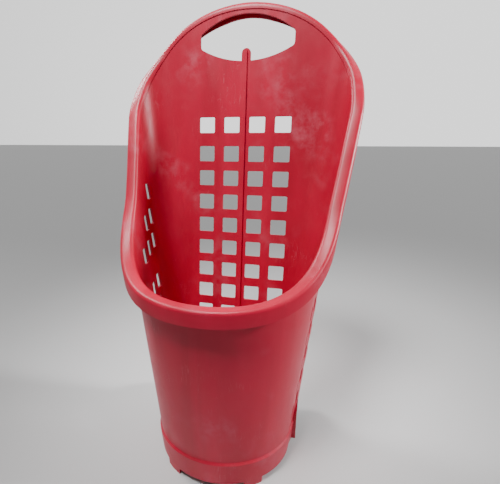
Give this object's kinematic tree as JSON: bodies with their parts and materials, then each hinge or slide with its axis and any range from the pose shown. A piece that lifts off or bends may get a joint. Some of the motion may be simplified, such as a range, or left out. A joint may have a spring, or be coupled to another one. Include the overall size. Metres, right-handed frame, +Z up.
{
  "type": "wheeled shopping basket",
  "caption": "Tall red pull-along shopping basket with a slanted rolled rim, a hand slot in its high back, openwork walls and wheels under the rear.",
  "frame": {"origin": "on the floor, in the middle of the overall width and depth", "axes": "+X to the right of someone who looks at the low front, -Y the low front, +Z up"},
  "size_m": [0.4544, 0.3683, 0.867],
  "materials": {
    "basket_red": "satin moulded polypropylene",
    "steel": "zinc plated",
    "tyre": "moulded rubber",
    "hub_plastic": "moulded, satin",
    "clip_plastic": "moulded, fine grain"
  },
  "bodies": {
    "basket": {"basket": "basket_red", "axle": "steel", "axle_clip_left": "clip_plastic", "clip_screws_left": "steel", "inner_washer_left": "steel", "outer_washer_left": "steel", "push_nut_left": "steel", "axle_clip_right": "clip_plastic", "clip_screws_right": "steel", "inner_washer_right": "steel", "outer_washer_right": "steel", "push_nut_right": "steel"},
    "wheel_left": {"wheel_hub_left": "hub_plastic", "tyre_left": "tyre", "hub_cap_left": "hub_plastic"},
    "wheel_right": {"wheel_hub_right": "hub_plastic", "tyre_right": "tyre", "hub_cap_right": "hub_plastic"}
  },
  "joints": [
    {"name": "wheel_left_spin", "type": "hinge", "parent": "basket", "child": "wheel_left", "pos_m": [-0.12505, 0.03821, 0.05], "axis": [1, 0, 0], "continuous": true},
    {"name": "wheel_right_spin", "type": "hinge", "parent": "basket", "child": "wheel_right", "pos_m": [0.12505, 0.03821, 0.05], "axis": [1, 0, 0], "continuous": true}
  ]
}
